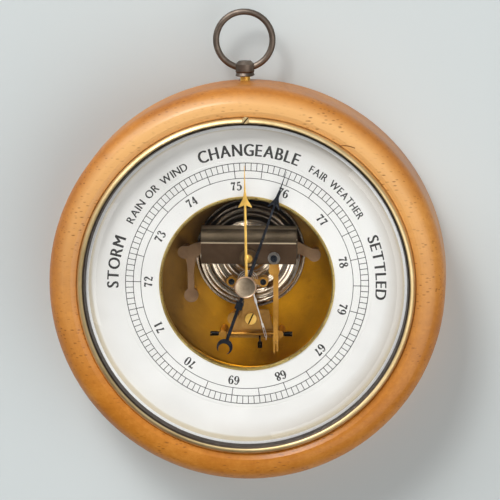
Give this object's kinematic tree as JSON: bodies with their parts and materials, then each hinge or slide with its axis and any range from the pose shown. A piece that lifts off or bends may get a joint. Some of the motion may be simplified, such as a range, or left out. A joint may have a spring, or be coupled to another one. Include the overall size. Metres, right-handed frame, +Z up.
{
  "type": "wall barometer",
  "caption": "Round wall barometer: turned wooden case, brass bezel, bevelled glass, white open dial over a visible aneroid movement, blued hand, brass set hand and hanging ring.",
  "frame": {"origin": "centre of the case's flat back face, on the axis of the dial", "axes": "+Z up towards the hanging ring, -Y out of the dial towards the viewer, +X to the viewer's right"},
  "size_m": [0.181, 0.0468, 0.214],
  "materials": {
    "honey_wood": "satin varnish",
    "pan_brass": "brushed, aged",
    "dial_white": "satin",
    "bright_brass": "polished",
    "bezel_brass": "polished, lacquered",
    "brass": "satin",
    "seat_tan": "matt",
    "clear_glass": "clear, polished",
    "blued_steel": "polished",
    "polished_steel": "polished",
    "spring_steel": "brushed",
    "black_steel": "semi-gloss",
    "capsule_silver": "bright, corrugated",
    "bridge_bronze": "matt",
    "bronzed_metal": "bronzed, worn"
  },
  "bodies": {
    "case": {"wood_case": "honey_wood", "case_screws": "brass", "movement_pan": "pan_brass", "dial_plate": "dial_white", "dial_opening_ring": "bright_brass", "glass_seat_ring": "seat_tan", "glass": "clear_glass", "bezel": "bezel_brass", "bezel_screw": "bright_brass", "knob_bush": "brass", "capsule_foot": "brass", "capsule_base": "capsule_silver", "bridge": "bridge_bronze", "bridge_pillars": "brass", "main_spring": "spring_steel", "spring_screws": "blued_steel", "pivot_posts": "brass", "pivot_screws": "black_steel", "regulator_plate": "brass", "plate_rib": "brass", "regulator_pillars": "brass", "cage_plate": "brass", "cage_pillars": "brass", "cock_pillar": "brass", "cock": "brass", "cock_screw": "bright_brass", "cage_washers": "brass", "cage_screws": "blued_steel", "hairspring": "polished_steel", "hairspring_stud": "brass", "chain": "polished_steel", "hanger_stem": "bright_brass"},
    "indicating hand": {"hand_arbor": "polished_steel", "indicating_hand": "blued_steel", "tail_block": "blued_steel"},
    "spring leaf and lever": {"spring_leaf": "spring_steel", "leaf_washer": "polished_steel", "leaf_screw": "blued_steel", "main_lever": "brass", "lever_link": "brass"},
    "capsule top": {"capsule_diaphragm": "capsule_silver", "capsule_post": "brass", "post_nut": "brass", "post_screw": "bright_brass"},
    "rocker": {"rocker_shaft": "brass", "rocker_weight": "black_steel"},
    "set hand": {"set_hand_knob": "bright_brass", "set_hand": "bright_brass", "set_hand_collet": "brass"},
    "adjusting screw": {"adjusting_screw": "brass"},
    "pommel": {"pommel": "bronzed_metal"},
    "hanging ring": {"hanging_ring": "bronzed_metal"}
  },
  "joints": [
    {"name": "hand_turn", "type": "hinge", "parent": "case", "child": "indicating hand", "pos_m": [0, -0.029, 0], "axis": [0, 1, 0], "range_deg": [-247, 85.3], "stiffness_Nm_per_rad": 0.0004, "deforming": ["hairspring"]},
    {"name": "lever_swing", "type": "hinge", "parent": "case", "child": "spring leaf and lever", "pos_m": [0, -0.0246, 0.019], "axis": [1, 0, 0], "range_deg": [-2.87, 0.99]},
    {"name": "rocker_turn", "type": "hinge", "parent": "case", "child": "rocker", "pos_m": [0.0013, -0.02069, -0.0252], "axis": [1, 0, 0], "range_deg": [-45, 15.6], "deforming": ["chain"]},
    {"name": "capsule_lift", "type": "slide", "parent": "case", "child": "capsule top", "axis": [0, 1, 0], "range_m": [-0.000384, 0.0001325]},
    {"name": "set_hand_turn", "type": "hinge", "parent": "case", "child": "set hand", "pos_m": [0, -0.041, 0], "axis": [0, 1, 0], "continuous": true},
    {"name": "adjusting_screw_turn", "type": "hinge", "parent": "case", "child": "adjusting screw", "pos_m": [0.0006, -0.003, 0.0113], "axis": [0, 1, 0], "range_deg": [-180, 180]},
    {"name": "pommel_swivel", "type": "hinge", "parent": "case", "child": "pommel", "pos_m": [-0.00226, -0.008, 0.09237], "axis": [-0.0244, 0, 0.9997], "range_deg": [-60, 60]},
    {"name": "ring_swing", "type": "hinge", "parent": "pommel", "child": "hanging ring", "pos_m": [-0.00236, -0.008, 0.09651], "axis": [0.9997, 0, 0.0244], "range_deg": [-35, 90]}
  ],
  "couplings": [
    {"joint": "lever_swing", "follows": "capsule_lift", "rad_per_m": 129.87},
    {"joint": "rocker_turn", "follows": "capsule_lift", "rad_per_m": 2037.2},
    {"joint": "hand_turn", "follows": "capsule_lift", "rad_per_m": 11206}
  ]
}
